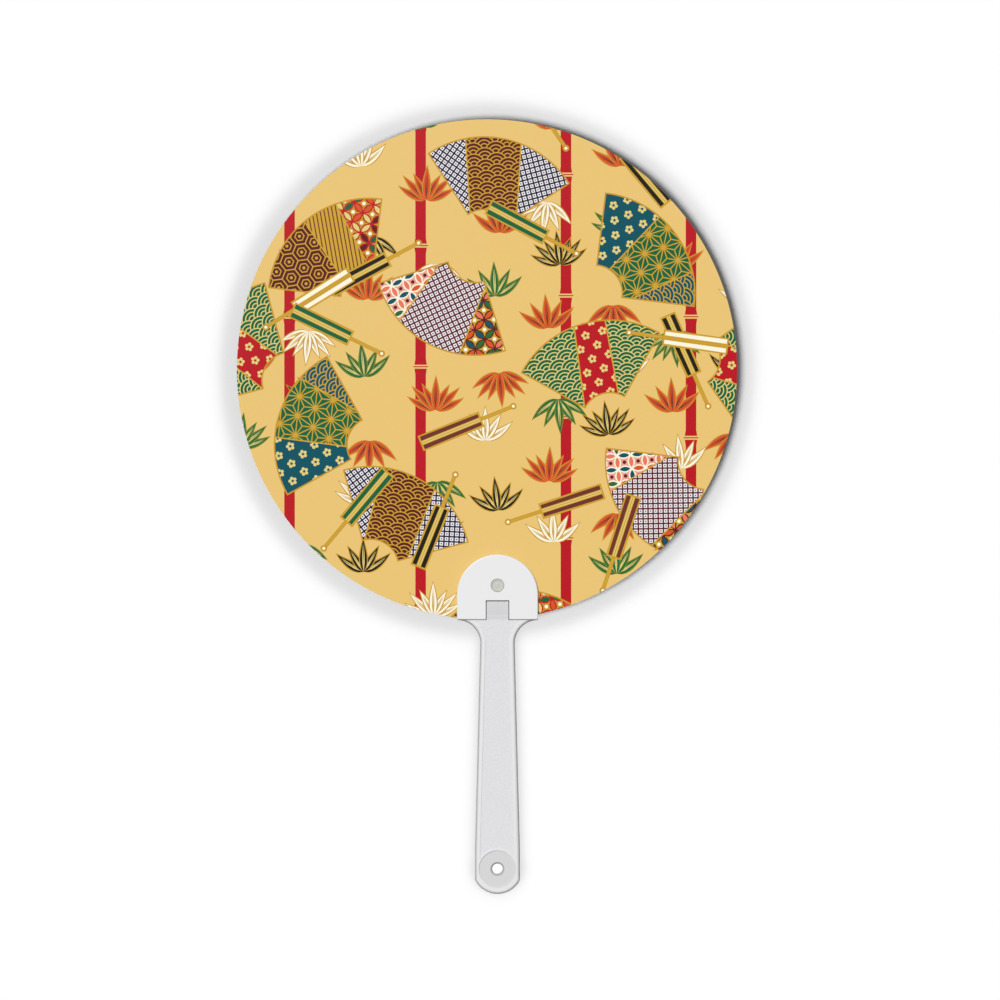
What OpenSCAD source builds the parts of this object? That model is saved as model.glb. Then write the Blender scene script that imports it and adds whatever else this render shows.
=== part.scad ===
// Round hand fan: a printed plastic disc snapped into the head of a moulded handle.
// It stands upright with its face to -Y and its grip down. The origin is the hand's hold,
// in the middle of the grip. Inside the modules heights are counted from the hang eye.

/* [Blade] */
// Diameter of the round blade
blade_d = 190; // [150:1:230]
// How far the blade's centre lies to the right of the handle's centre line
blade_shift = -4; // [-6:0.5:6]
// Thickness of the plastic sheet between the prints
sheet_t = 0.6; // [0.4:0.1:1.2]
// Thickness of each printed film
film_t = 0.1; // [0.05:0.05:0.2]

/* [Grip] */
// Length from the hang eye's centre to the ledge under the blade
grip_l = 94.5; // [80:0.5:130]
// Height of the hand's hold above the hang eye's centre
hold_h = 45; // [35:1:60]
// Width of the grip where its tapered sides would meet the ledge
neck_w = 12.6; // [10:0.2:15]
// Width of the grip beside the hang eye
foot_w = 17; // [16.8:0.2:18.6]
// Height above the eye's centre at which the taper begins
taper_h = 7.4; // [4:0.2:20]
// Radius of the grip's round end
end_r = 9.5; // [9.4:0.1:12]
// Thickness of the handle
handle_t = 3.6; // [3.4:0.1:5]
// Rounding of the handle's outer edges
edge_r = 1.2; // [0.4:0.1:1.3]

/* [Frosted panel] */
// Depth of the frosted panel below the grip's face
panel_depth = 0.25; // [0.1:0.05:0.5]
// Width of the flat rim between the panel and the rounded edge
rim_w = 0.7; // [0.4:0.1:1.5]
// Distance from the back panel's upper end to the ledge
back_panel_stop = 8; // [4:0.5:20]

/* [Hang eye] */
// Diameter of the hang eye
eye_d = 4; // [3:0.5:5]
// Width of the chamfer round the eye's mouths
eye_chamfer_w = 0.7; // [0.2:0.1:1]
// Depth of that chamfer
eye_chamfer_h = 0.5; // [0.2:0.1:0.7]
// Radius of the smooth round pad about the eye
pad_r = 7.1; // [5:0.1:7.2]
// Depth of the pad below the grip's face
pad_depth = 0.4; // [0.1:0.05:0.6]
// Width of the thin rim between the pad and the panel
pad_rim_w = 0.5; // [0.3:0.1:1]

/* [Head] */
// Width of the dome, which both leaves share
dome_w = 30.8; // [24:0.2:40]
// Height of the dome's straight sides above the ledge
dome_side_h = 9.5; // [8:0.5:20]
// Thickness of the rear leaf
rear_leaf_t = 1.4; // [1.3:0.1:1.8]
// Thickness of the clasp plate
clasp_t = 1.6; // [1.3:0.1:2.2]
// Rounding of the clasp plate's front edge
clasp_edge_r = 0.5; // [0.2:0.1:0.8]
// Gap between the clasp plate's lower edge and the ledge
seam_gap = 0.15; // [0.1:0.05:0.4]
// Gap between the blade's lowest point and the ledge
blade_gap = 0.2; // [0.1:0.05:0.5]

/* [Key] */
// Width of the key that keeps the blade from turning
key_w = 8.3; // [5:0.1:10]
// Height of the key above the ledge
key_h = 7.2; // [4:0.1:8]
// How far the key's top stands proud of the blade's face
key_proud = 0.5; // [0.2:0.1:0.8]
// Gap round the key in the blade and in the clasp plate
key_gap = 0.3; // [0.1:0.05:0.5]

/* [Snap pin] */
// Height of the pin above the ledge
pin_h = 13.2; // [12:0.1:16]
// Diameter of the pin's head
pin_head_d = 4.9; // [4.3:0.1:6]
// Thickness of the pin's head
pin_head_t = 0.7; // [0.5:0.1:0.8]
// Depth of the dish in the head
pin_dish = 0.25; // [0.1:0.05:0.4]
// Width of each slope and of the flat on the dish's rim
pin_rim_w = 0.2; // [0.1:0.05:0.3]
// Diameter of the pip in the middle of the dish
pip_d = 1.4; // [0.8:0.1:2]
// Height of that pip
pip_h = 0.1; // [0.05:0.05:0.2]
// How far the head lies below the clasp plate's face
pin_recess = 0.3; // [0.1:0.1:0.4]
// Diameter of the pin's shank
pin_d = 3.2; // [2.6:0.1:3.4]
// Diameter of the pin's barb
barb_d = 4; // [3.8:0.1:4.6]
// Length of the barb
barb_t = 0.6; // [0.4:0.1:0.8]
// Room round the barb in the rear leaf
barb_room = 0.35; // [0.2:0.05:0.5]
// Width of the slot that lets the barb's two legs close
pin_slot_w = 0.7; // [0.4:0.1:1]
// Gap round the pin in its holes
pin_gap = 0.1; // [0.05:0.05:0.15]

/* [Hidden] */
$fn = 96;

// Arc segments: on the grip's end, on each shoulder, on half the dome, and across an edge's rounding
END_STEPS = 12;
SHOULDER_STEPS = 14;
DOME_STEPS = 20;
EDGE_STEPS = 4;
// How far a cutting solid runs past what it cuts
PAST = 1;

// Depth of each layer in the head, from the back face forwards
back_y = handle_t / 2;
leaf_y = back_y - rear_leaf_t;
sheet_back_y = leaf_y - film_t;
sheet_front_y = sheet_back_y - sheet_t;
blade_front_y = sheet_front_y - film_t;
clasp_front_y = blade_front_y - clasp_t;
front_y = -handle_t / 2;
panel_y = front_y + panel_depth;

// Heights above the hang eye
dome_z = grip_l + dome_side_h;
head_top_z = dome_z + dome_w / 2;
blade_z = grip_l + blade_gap + blade_d / 2;
pin_z = grip_l + pin_h;
key_top_z = grip_l + key_h;

// The grip's side leans in by this much for each millimetre of height
taper = (foot_w - neck_w) / 2 / (grip_l - taper_h);
taper_angle = atan(taper);
// The shoulder's arc touches the leaning side and ends level, at the dome's corner
shoulder_r = (dome_w - neck_w) / 2 / (sqrt(1 + taper * taper) + taper);
shoulder_z = grip_l - shoulder_r;
// Where the round end meets the straight sides, as an angle below level
end_angle = acos(foot_w / 2 / end_r);

// An outline is a list of [x, z, inward x, inward z]. Moved by d times its inward pair, each point
// lies d further in, square to the edges on both sides of it.
function arc(x, z, r, from, to, steps, inward) = [
  for (i = [0:steps])
    let (a = from + (to - from) * i / steps)
    [x + r * cos(a), z + r * sin(a), -inward * cos(a), -inward * sin(a)]
];

// The inward pair at a corner, from the angles of the inward normals on its two sides
function mitre(a, b) =
  [cos(a) + cos(b), sin(a) + sin(b)] / (1 + cos(a - b));

function corner(x, z, a, b) = [x, z, mitre(a, b)[0], mitre(a, b)[1]];

function inset(outline, d) = [for (p = outline) [p[0] + d * p[2], p[1] + d * p[3]]];

function all_but_last(list) = [for (i = [0:len(list) - 2]) list[i]];

function reversed(list) = [for (i = [len(list) - 1:-1:0]) list[i]];

// A right half from the lowest point up to the centre line, closed by its mirror image. Where the
// outline's foot is a point it lies on the centre line too, and has no mirror image of its own.
function both_sides(half) =
  let (first = half[0][0] > 0 ? 0 : 1)
  concat(
    half,
    [for (i = [len(half) - 2:-1:first]) [-half[i][0], half[i][1], -half[i][2], half[i][3]]]
  );

function dome_half() = arc(0, dome_z, dome_w / 2, 0, 90, DOME_STEPS, 1);

// Round end, straight foot, tapered side, shoulder and dome
function handle_outline() = both_sides(concat(
  all_but_last(arc(0, 0, end_r, -90, -end_angle, END_STEPS, 1)),
  [
    corner(foot_w / 2, -end_r * sin(end_angle), 180 - end_angle, 180),
    corner(foot_w / 2, taper_h, 180, 180 + taper_angle)
  ],
  all_but_last(
    arc(dome_w / 2, shoulder_z, shoulder_r, 180 + taper_angle, 90, SHOULDER_STEPS, -1)
  ),
  [corner(dome_w / 2, grip_l, 90, 180)],
  dome_half()
));

function clasp_outline() = both_sides(concat(
  [corner(dome_w / 2, grip_l + seam_gap, 90, 180)],
  dome_half()
));

// The rings of a plate from front to back, as [inset, depth], with quarter-round edges
function edge_rings(front, back, front_r, back_r) = concat(
  [
    for (i = [0:EDGE_STEPS])
      let (a = 90 * i / EDGE_STEPS)
      [front_r * (1 - sin(a)), front + front_r * (1 - cos(a))]
  ],
  back_r == 0 ? [[0, back]] : [
    for (i = [EDGE_STEPS:-1:0])
      let (a = 90 * i / EDGE_STEPS)
      [back_r * (1 - sin(a)), back - back_r * (1 - cos(a))]
  ]
);

// A face inside an outline from both_sides, as level strips from each point to its mirror image
function strips(outline) =
  let (n = len(outline), flat_foot = outline[0][0] > 0 ? 1 : 0)
  [
    for (i = [0:(n - flat_foot) / 2 - 1])
      let (strip = [i, i + 1, n - flat_foot - i - 1, (n - flat_foot - i) % n])
      [for (k = [0:3]) if (strip[k] != strip[(k + 1) % 4]) strip[k]]
  ];

// A flat plate of the outline between two depths, its edges rounded by lofting inset rings
module rounded_plate(outline, front, back, front_r, back_r = 0) {
  rings = edge_rings(front, back, front_r, back_r);
  n = len(outline);
  last = len(rings) - 1;
  points = [for (ring = rings) for (p = inset(outline, ring[0])) [p[0], ring[1], p[1]]];
  walls = [
    for (k = [0:last - 1])
      for (i = [0:n - 1])
        let (j = (i + 1) % n)
        [k * n + j, (k + 1) * n + j, (k + 1) * n + i, k * n + i]
  ];
  front_face = [for (strip = strips(outline)) reversed(strip)];
  back_face = [for (strip = strips(outline)) [for (i = strip) last * n + i]];
  polyhedron(points, concat(walls, front_face, back_face), convexity = 6);
}

// Stands a flat shape up in the fan's plane and gives it depth from one Y to another
module slab(front, back) {
  translate([0, back, 0])
    rotate([90, 0, 0])
      linear_extrude(back - front)
        children();
}

module round_slab(x, z, r, front, back, front_r = -1) {
  translate([x, back, z])
    rotate([90, 0, 0])
      cylinder(h = back - front, r1 = r, r2 = front_r < 0 ? r : front_r);
}

module placed() {
  translate([0, 0, -hold_h]) children();
}

// The key's side view, from the panel's floor at the ledge up a ramp to its top
module key_block() {
  points = [
    [leaf_y + PAST, grip_l - PAST],
    [panel_y, grip_l - PAST],
    [panel_y, grip_l],
    [blade_front_y - key_proud, key_top_z],
    [leaf_y + PAST, key_top_z]
  ];
  translate([-key_w / 2, 0, 0])
    rotate([90, 0, 90])
      linear_extrude(key_w)
        polygon(points);
}

// The space in front of the rear leaf, with the key left standing
module head_pocket() {
  width = dome_w + 2 * PAST;
  deep = handle_t;
  difference() {
    translate([-width / 2, leaf_y - deep, grip_l])
      cube([width, deep, head_top_z - grip_l + PAST]);
    key_block();
  }
}

// The notch that the key fills, in the blade and in the clasp plate
module key_notch(front, back) {
  width = key_w + 2 * key_gap;
  slab(front, back)
    translate([-width / 2, grip_l - PAST])
      square([width, key_h + key_gap + PAST]);
}

module panel_shape(stop_z) {
  difference() {
    intersection() {
      polygon(inset(handle_outline(), edge_r + rim_w));
      translate([-dome_w / 2, 0])
        square([dome_w, stop_z]);
    }
    circle(pad_r + pad_rim_w);
  }
}

// One mouth of the hang eye: the sunk pad and the chamfer, cut from the front or the back
module eye_mouth() {
  floor_y = front_y + pad_depth;
  round_slab(0, 0, pad_r, front_y - PAST, floor_y);
  round_slab(0, 0, eye_d / 2, floor_y, floor_y + eye_chamfer_h, eye_d / 2 + eye_chamfer_w);
}

module handle() {
  barb_pocket = barb_t + 2 * pin_gap;
  color([0.88, 0.88, 0.89])
    placed()
      difference() {
        rounded_plate(handle_outline(), front_y, back_y, edge_r, edge_r);
        head_pocket();
        slab(front_y - PAST, panel_y) panel_shape(grip_l + PAST);
        slab(back_y - panel_depth, back_y + PAST) panel_shape(grip_l - back_panel_stop);
        eye_mouth();
        mirror([0, 1, 0]) eye_mouth();
        round_slab(0, 0, eye_d / 2, front_y - PAST, back_y + PAST);
        round_slab(0, pin_z, pin_d / 2 + pin_gap, leaf_y - PAST, back_y + PAST);
        round_slab(0, pin_z, barb_d / 2 + barb_room, back_y - barb_pocket, back_y + PAST);
      }
}

module clasp_plate() {
  seat_y = clasp_front_y + pin_recess + pin_head_t;
  color([0.94, 0.94, 0.94])
    placed()
      difference() {
        rounded_plate(clasp_outline(), clasp_front_y, blade_front_y, clasp_edge_r);
        key_notch(clasp_front_y - PAST, blade_front_y + PAST);
        round_slab(0, pin_z, pin_d / 2 + pin_gap, clasp_front_y - PAST, blade_front_y + PAST);
        round_slab(0, pin_z, pin_head_d / 2 + pin_gap, clasp_front_y - PAST, seat_y);
      }
}

// The pin is turned about its own axis from its half section: a dished head, a shank and a barb
module snap_pin() {
  head_r = pin_head_d / 2;
  shank_r = pin_d / 2;
  pip_r = pip_d / 2;
  front = clasp_front_y + pin_recess;
  length = back_y - pin_gap - front;
  barb_start = length - barb_t;
  section = [
    [0, pin_dish - pip_h],
    [pip_r, pin_dish - pip_h],
    [pip_r + pip_h, pin_dish],
    [head_r - 3 * pin_rim_w, pin_dish],
    [head_r - 2 * pin_rim_w, 0],
    [head_r - pin_rim_w, 0],
    [head_r, pin_rim_w],
    [head_r, pin_head_t],
    [shank_r, pin_head_t],
    [shank_r, barb_start],
    [barb_d / 2, barb_start],
    [shank_r - pin_rim_w, length],
    [0, length]
  ];
  color([0.82, 0.82, 0.79])
    placed()
      translate([0, front, pin_z])
        difference() {
          rotate([-90, 0, 0])
            rotate_extrude()
              polygon(section);
          translate([-pin_slot_w / 2, pin_head_t + pin_gap, -barb_d])
            cube([pin_slot_w, length, 2 * barb_d]);
        }
}

// One round layer of the blade, with the pin's hole and the key's notch
module blade_layer(front, back) {
  placed()
    difference() {
      round_slab(blade_shift, blade_z, blade_d / 2, front, back);
      round_slab(0, pin_z, pin_d / 2 + pin_gap, front - PAST, back + PAST);
      key_notch(front - PAST, back + PAST);
    }
}

module blade_sheet() {
  color([0.95, 0.95, 0.94])
    blade_layer(sheet_front_y, sheet_back_y);
}

module front_print() {
  color([0.92, 0.78, 0.49])
    blade_layer(blade_front_y, sheet_front_y);
}

module back_print() {
  color([0.92, 0.78, 0.49])
    blade_layer(sheet_back_y, leaf_y);
}

handle();
clasp_plate();
snap_pin();
blade_sheet();
front_print();
back_print();
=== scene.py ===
# %% [markdown]
# # A round hand fan, dressed from its CAD frame
#
# The real fan is a stiff plastic disc with a printed film on each side, snapped into the head of a
# slim white moulded handle. The CAD frame brings every piece at its real size and place. This
# script adds what the frame has no room for: the printed inks, the finish of each plastic and the
# studio.
# %% Load the frame
import math

import bmesh
import bpy
import numpy as np
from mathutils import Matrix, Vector, geometry


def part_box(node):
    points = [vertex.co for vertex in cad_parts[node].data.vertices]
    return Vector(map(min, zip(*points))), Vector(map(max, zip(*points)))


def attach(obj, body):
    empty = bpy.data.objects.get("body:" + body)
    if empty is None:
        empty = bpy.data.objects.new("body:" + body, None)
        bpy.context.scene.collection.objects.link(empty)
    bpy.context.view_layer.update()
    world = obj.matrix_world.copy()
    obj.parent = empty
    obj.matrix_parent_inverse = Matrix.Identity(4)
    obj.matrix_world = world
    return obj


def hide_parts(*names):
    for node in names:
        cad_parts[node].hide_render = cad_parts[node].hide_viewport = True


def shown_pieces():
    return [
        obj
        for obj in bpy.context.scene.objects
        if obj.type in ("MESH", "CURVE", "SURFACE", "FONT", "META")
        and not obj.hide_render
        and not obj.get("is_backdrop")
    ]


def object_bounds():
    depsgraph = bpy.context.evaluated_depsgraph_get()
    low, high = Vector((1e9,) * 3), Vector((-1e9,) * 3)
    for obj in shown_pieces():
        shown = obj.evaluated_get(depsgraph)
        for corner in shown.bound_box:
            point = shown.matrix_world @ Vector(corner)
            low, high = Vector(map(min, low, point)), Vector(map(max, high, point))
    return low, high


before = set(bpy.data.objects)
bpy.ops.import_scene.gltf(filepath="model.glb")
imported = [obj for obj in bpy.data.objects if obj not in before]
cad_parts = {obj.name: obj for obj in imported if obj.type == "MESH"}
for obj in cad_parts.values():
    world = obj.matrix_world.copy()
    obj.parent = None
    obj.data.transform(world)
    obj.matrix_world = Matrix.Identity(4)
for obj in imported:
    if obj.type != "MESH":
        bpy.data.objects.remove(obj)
cad_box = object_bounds()
print("frame pieces:", ", ".join(sorted(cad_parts)))

# %% [markdown]
# ## Sizes
#
# Drawing is easiest in millimetres, so all lengths here are millimetres until a mesh is written.
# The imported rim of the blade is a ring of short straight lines, so its box is rounded to a tenth of
# a millimetre, which gives back the true circle. The frame tells no sizes of holes, so the two in
# the sheet are written down here.
# %% Sizes read from the frame
MM = 0.001
PIN_HOLE_R = 1.7
KEY_NOTCH_HALF_WIDTH = 4.45
KEY_NOTCH_TOP_Z = 57.0


def box_mm(name):
    """Lowest and highest corner of a CAD node in millimetres, rounded to a tenth."""
    low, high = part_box(name)
    return np.round(np.array(low) / MM, 1), np.round(np.array(high) / MM, 1)


sheet_low, sheet_high = box_mm("blade_sheet")
pin_low, pin_high = box_mm("snap_pin")
blade_r = (sheet_high[0] - sheet_low[0]) / 2
blade_x = (sheet_high[0] + sheet_low[0]) / 2
blade_z = sheet_high[2] - blade_r
pin_z = (pin_low[2] + pin_high[2]) / 2
print(f"blade of radius {blade_r:.1f} mm about x {blade_x:.1f}, z {blade_z:.1f}")
print(f"pin at z {pin_z:.1f}")

# %% [markdown]
# ## Colour
#
# A shader socket takes linear light, while a colour as it is seen on a screen is an sRGB value. One
# small function turns the one into the other, so that every colour below can be written as it is
# seen.
# %% Colours as they are seen


def seen(red, green, blue):
    """The linear colour of an sRGB colour with values from 0 to 255.

    A value c is divided by 255. Up to 0.04045 it is then divided by 12.92, and above that it is
    ((c + 0.055) / 1.055) to the power 2.4.
    """
    c = np.array([red, green, blue]) / 255
    return (*np.where(c <= 0.04045, c / 12.92, ((c + 0.055) / 1.055) ** 2.4), 1.0)


WHITE = seen(255, 255, 255)
BLACK = seen(0, 0, 0)
print("middle grey on the screen is", round(float(seen(128, 128, 128)[0]), 3), "in the shader")

# %% [markdown]
# ## The drawing table
#
# The print is drawn as flat outlines, in painting order, the way a cut-paper picture is laid: gold
# paper first, then bars, then leaves, and each new shape covers what lies under it. A pattern that
# fills a shape is told which shape it shows in. An image texture could hold the picture too, but
# outlines stay sharp at any distance and can be drawn by formula.
#
# The drawing's own axes are u to the viewer's right and v up, from the middle of the blade.
# %% Outlines in painting order
outlines, outline_inks, outline_within = [], [], []
EVERYWHERE = -1


def paint(outline, ink, within=EVERYWHERE):
    """Adds one closed outline and gives its number, so that later ones can show inside it only.

    The triangulation wants anticlockwise outlines. The sum of the cross products of neighbouring
    points is twice the area, and is negative for a clockwise one, which is turned round.
    """
    outline = np.asarray(outline, float)
    after = np.roll(outline, -1, axis=0)
    doubled_area = (outline[:, 0] * after[:, 1] - outline[:, 1] * after[:, 0]).sum()
    outlines.append(outline if doubled_area > 0 else outline[::-1])
    outline_inks.append(ink)
    outline_within.append(within)
    return len(outlines) - 1


# %% [markdown]
# Most motifs start from a ring of points or a box about 0, 0, which is then turned and set down. A
# curve could be drawn by hand as well, but a formula is exact and gives the same result each time.
# %% Rings and boxes, set down


def placed(points, at, turn=0.0):
    """Points turned anticlockwise about 0, 0 by turn degrees and then moved by at."""
    a = math.radians(turn)
    spin = np.array([[math.cos(a), math.sin(a)], [-math.sin(a), math.cos(a)]])
    return np.asarray(points, float) @ spin + np.asarray(at, float)


def arc(radius, start, end, steps):
    """Points at one radius, their angles in even steps from start to end, in degrees."""
    a = np.radians(np.linspace(start, end, steps + 1))
    return radius * np.stack([np.cos(a), np.sin(a)], axis=1)


def ring(radius, steps):
    """A regular polygon about 0, 0, its first corner to the right."""
    return arc(radius, 0, 360, steps)[:-1]


def box(width, height):
    """A box about 0, 0, anticlockwise from its lower left corner."""
    return np.array([[-1, -1], [1, -1], [1, 1], [-1, 1]]) * [width / 2, height / 2]


print("a box of 4 by 2, turned by 90 degrees:", placed(box(4, 2), (0, 0), 90).round(1).tolist())

# %% [markdown]
# ## Bamboo bars
#
# Four upright bamboo culms cross the whole picture in crimson. A culm is a stack of straight joints
# with a slightly wider end at each node, and the gold paper shows in the gap at the node.
# %% Bamboo bars
CULM_US = (-75.0, -25.2, 30.0, 77.5)
CULM_WIDTH = 4.0
JOINT_LENGTH = 46.0
JOINT_STAGGER = 19.0
NODE_GAP = 1.5
NODE_FLARE = 0.35
FLARE_LENGTH = 2.2
NODE_LINE = (CULM_WIDTH + 1.6, 0.4)


def culm_joint(width, height):
    """A long box whose four corners flare outwards over the last few millimetres."""
    side = np.array([
        [width / 2 + NODE_FLARE, -height / 2],
        [width / 2, -height / 2 + FLARE_LENGTH],
        [width / 2, height / 2 - FLARE_LENGTH],
        [width / 2 + NODE_FLARE, height / 2],
    ])
    return np.concatenate([side, (side * [-1, 1])[::-1]])


def bamboo_bars():
    """Joints stacked at one pitch on each culm, with a thin line across the gap between them."""
    for number, u in enumerate(CULM_US):
        start = -blade_r - JOINT_STAGGER * (number % 3)
        for v in np.arange(start, blade_r + JOINT_LENGTH, JOINT_LENGTH):
            paint(placed(culm_joint(CULM_WIDTH, JOINT_LENGTH - NODE_GAP), (u, v)), "crimson")
            paint(placed(box(*NODE_LINE), (u, v + JOINT_LENGTH / 2)), "crimson")


bamboo_bars()
print("outlines after the bars:", len(outlines))

# %% [markdown]
# ## Leaf sprigs
#
# Between the bars lie sprigs of three or five bamboo leaves. A leaf is a slim shape about a bent
# line, pointed at both ends. Its middle line is summed up from short steps whose heading turns
# evenly, which bends a leaf without any curve tool.
# %% A leaf
LEAF_STEPS = 8
# Lean from upright, bend along the leaf, length and width
MIDDLE_LEAF = (0, 0, 12.6, 2.7)


def leaf(lean, bend, length, width, steps=LEAF_STEPS):
    """A leaf's outline. Its middle line starts upright plus lean and turns evenly by bend.

    Its half width at a share t of the length is half the width times sin(pi t^0.7), which is widest
    at a bit over a third.
    """
    t = np.linspace(0, 1, steps + 1)
    heading = np.radians(lean + bend * t)
    step = np.stack([np.sin(heading), np.cos(heading)], axis=1) * length / steps
    line = np.concatenate([[[0, 0]], np.cumsum((step[1:] + step[:-1]) / 2, axis=0)])
    across = np.stack([np.cos(heading), -np.sin(heading)], axis=1)
    half = (width / 2 * np.sin(np.pi * t**0.7))[:, None]
    return np.concatenate([line + across * half, (line - across * half)[-2:0:-1]])


print("points of one leaf:", len(leaf(*MIDDLE_LEAF)))

# %% [markdown]
# A leaf is painted three times: a wide gold one as its edge, a coloured one as its body, and thin
# needles along the same bend as its veins. Painting a wide shape under a narrow one is the simplest
# way to an even edge line. The leaves of one side are given, and the others are their mirror image.
# %% A sprig
LEAF_EDGE = 0.4
VEIN_STEPS = 3
VEIN_SPLAY = 5
VEIN_SHARE = 0.85
VEIN_WIDTH = 0.4
# For each kind the inks of the edge, the body and the veins
SPRIG_INKS = {
    "flame": ("ochre", "vermilion", "russet"),
    "green": ("moss", "leaf_green", "pale_gold"),
    "black": ("ochre", "lamp_black", "pale_gold"),
    "cream": ("ochre", "cream", "ochre"),
}
# The leaves of one side, each as the middle leaf is given
FULL_SPRIG = ((25, 6, 10.6, 2.4), (50, -8, 12.2, 2.5), (78, -24, 11.4, 2.4))
SLIM_SPRIG = ((33, -4, 11.2, 2.6), (67, -22, 12.2, 2.7))


def sprig(kind, side_leaves, at, turn):
    """Leaves that spread from one point, the outermost painted first and the middle one last."""
    edge_ink, body_ink, vein_ink = SPRIG_INKS[kind]
    mirrored = [(-lean, -bend, length, width) for lean, bend, length, width in side_leaves]
    for lean, bend, length, width in (*side_leaves[::-1], *mirrored[::-1], MIDDLE_LEAF):
        share = 1 + 2 * LEAF_EDGE / length
        edge = leaf(lean, bend * share, length * share, width + 2 * LEAF_EDGE)
        paint(placed(edge, at, turn), edge_ink)
        paint(placed(leaf(lean, bend, length, width), at, turn), body_ink)
        for splay in (-VEIN_SPLAY, VEIN_SPLAY):
            vein_bend = (bend - 2 * splay) * VEIN_SHARE
            vein = leaf(lean + splay, vein_bend, length * VEIN_SHARE, VEIN_WIDTH, VEIN_STEPS)
            paint(placed(vein, at, turn), vein_ink)


print("kinds of sprig:", ", ".join(SPRIG_INKS))

# %% [markdown]
# The sprigs are set out as a half-drop repeat, as on printed cloth: columns at one pitch, and every
# second column lower by half a step. The kinds follow each other in turn, and a seeded random draw
# moves each sprig a little, so that the grid doesn't show.
# %% A half-drop repeat of sprigs
COLUMN_PITCH = 23.5
ROW_PITCH = 26.5
SPRIG_ORDER = ("flame", "green", "flame", "black", "cream")
DRAW_SEED = 7
MOST_SHIFT = 3.0
MOST_TURN = 8
SPRIG_REACH = 12
GRID = range(-5, 6)
COLUMN_SHIFT = 2


def sprigs():
    """Sprigs on every lattice point near the blade, each shifted and turned by a random draw."""
    draw = np.random.default_rng(DRAW_SEED)
    for column in GRID:
        for row in GRID:
            shift = draw.uniform(-MOST_SHIFT, MOST_SHIFT, 2)
            drop = (column % 2) * ROW_PITCH / 2
            at = np.array([column * COLUMN_PITCH + COLUMN_SHIFT, row * ROW_PITCH + drop]) + shift
            kind = SPRIG_ORDER[(2 * column + row) % len(SPRIG_ORDER)]
            side_leaves = FULL_SPRIG if (column + 2 * row) % 3 == 0 else SLIM_SPRIG
            turn = 180 if (column + row) % 3 == 0 else 0
            if np.hypot(*at) < blade_r + SPRIG_REACH:
                sprig(kind, side_leaves, at, turn + draw.uniform(-MOST_TURN, MOST_TURN))


sprigs()
print("outlines after the sprigs:", len(outlines))

# %% [markdown]
# ## Fan papers
#
# On top of the leaves lie open fan papers, each a ring sector about its pivot. A real fan paper is
# pieced or printed in sections, so slanting seams cut a paper into patches, and each patch is
# filled with a textbook pattern.
# %% The shape of a paper
PAPER_OUTER = 38.0
PAPER_INNER = 11.0
PAPER_HALF_ANGLE = 45.0
PAPER_MIDDLE = np.array([0.0, (PAPER_OUTER + PAPER_INNER) / 2])
OUTER_STEPS = 30
INNER_STEPS = 12


def paper_outline(grow):
    """A ring sector that opens upwards, with every side moved outwards by grow.

    An arc's radius takes grow itself. A straight side moves when its end at radius r turns by the
    angle whose sine is grow over r.
    """
    outer, inner = PAPER_OUTER + grow, PAPER_INNER - grow
    outer_half = PAPER_HALF_ANGLE + math.degrees(math.asin(grow / outer))
    inner_half = PAPER_HALF_ANGLE + math.degrees(math.asin(grow / inner))
    return np.concatenate([
        arc(outer, 90 - outer_half, 90 + outer_half, OUTER_STEPS),
        arc(inner, 90 + inner_half, 90 - inner_half, INNER_STEPS),
    ])


print(f"a paper is {np.ptp(paper_outline(0)[:, 0]):.1f} mm wide")

# %% [markdown]
# A patch lies between two slanting seams, and runs past the paper's edges, which trim it. A pattern
# needs to know which places are near the patch, so that nothing is drawn in vain.
# %% Patches between seams
SEAM = 0.5
BEYOND = 30.0
PATCH_TOP = PAPER_OUTER + 2


def patch_between(left, right):
    """The four-sided patch between two seams. A seam is its u at the pivot and at the top."""
    return np.array([
        [left[0] + SEAM / 2, 0],
        [right[0] - SEAM / 2, 0],
        [right[1] - SEAM / 2, PATCH_TOP],
        [left[1] + SEAM / 2, PATCH_TOP],
    ])


def near(patch, points, margin):
    """True for points inside the patch and the paper, or outside by less than the margin.

    The distance to a side is the cross product of the side's direction with the way from its start
    to the point, and is positive inside.
    """
    side = np.roll(patch, -1, axis=0) - patch
    side /= np.linalg.norm(side, axis=1, keepdims=True)
    way = points[:, None, :] - patch[None]
    depth = side[None, :, 0] * way[:, :, 1] - side[None, :, 1] * way[:, :, 0]
    radius = np.hypot(points[:, 0], points[:, 1])
    swing = np.degrees(np.arctan2(np.abs(points[:, 0]), points[:, 1])) - PAPER_HALF_ANGLE
    return (
        (depth.min(axis=1) > -margin)
        & (radius < PAPER_OUTER + margin)
        & (radius > PAPER_INNER - margin)
        & (radius * np.sin(np.radians(np.clip(swing, -90, 90))) < margin)
    )


whole = patch_between((-BEYOND, -BEYOND), (BEYOND, BEYOND))
print("the paper's middle is in the patch:", near(whole, PAPER_MIDDLE[None], 0).tolist())

# %% [markdown]
# The patterns are lattices: one cell is drawn by formula and set down at every lattice point near
# the patch, and the patch's own outline trims it. A shader could repeat a cell too, but it would
# have no outline to trim it by, and no exact edge.
# %% A lattice in a patch


def lattice(patch, pitch_u, pitch_v, turn, margin):
    """Lattice points near a patch, every second row shifted by half a pitch, turned by turn."""
    reach = int(PAPER_OUTER / min(pitch_u, pitch_v)) + 2
    steps = np.arange(-reach, reach + 1)
    rows, columns = np.meshgrid(steps, steps, indexing="ij")
    points = np.stack([(columns + (rows % 2) / 2) * pitch_u, rows * pitch_v], axis=-1)
    points = placed(points.reshape(-1, 2), PAPER_MIDDLE, turn)
    return points[near(patch, points, margin)]


print("points of a lattice of 5 mm in a whole paper:", len(lattice(whole, 5, 5, 0, 0)))

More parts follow.
